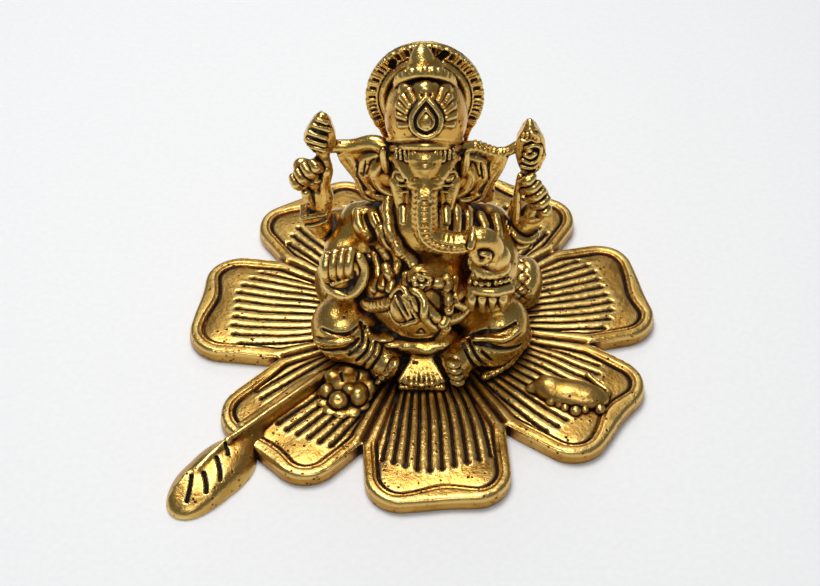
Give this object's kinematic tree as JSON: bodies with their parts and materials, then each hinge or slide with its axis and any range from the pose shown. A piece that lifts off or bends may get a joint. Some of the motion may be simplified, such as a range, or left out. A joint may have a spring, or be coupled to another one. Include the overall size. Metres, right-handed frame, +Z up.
{
  "type": "seated idol on flower dish",
  "caption": "Small gilt cast-metal ornament: an elephant-headed seated figure with a halo, on a fluted petal dish with a leaf handle, for a shelf or desk.",
  "frame": {"origin": "centre of the flower dish, on its flat underside", "axes": "+Z up, the figure faces -Y, +X is the figure's own left"},
  "size_m": [0.1629, 0.1599, 0.1157],
  "materials": {
    "gilt_dish": "antique gold plating over a cast, polished surface",
    "gilt_idol": "antique gold plating over a cast, polished surface",
    "zinc_steel": "zinc plated"
  },
  "bodies": {
    "root": {"flower_base": "gilt_dish", "stem_leaf": "gilt_dish", "stem_blossom": "gilt_dish", "mouse": "gilt_dish", "seated_body": "gilt_idol", "bolster": "gilt_idol", "head": "gilt_idol", "halo": "gilt_idol", "raised_right_arm": "gilt_idol", "raised_left_arm": "gilt_idol", "fixing_screws": "zinc_steel", "screw_washers": "zinc_steel"}
  },
  "joints": []
}
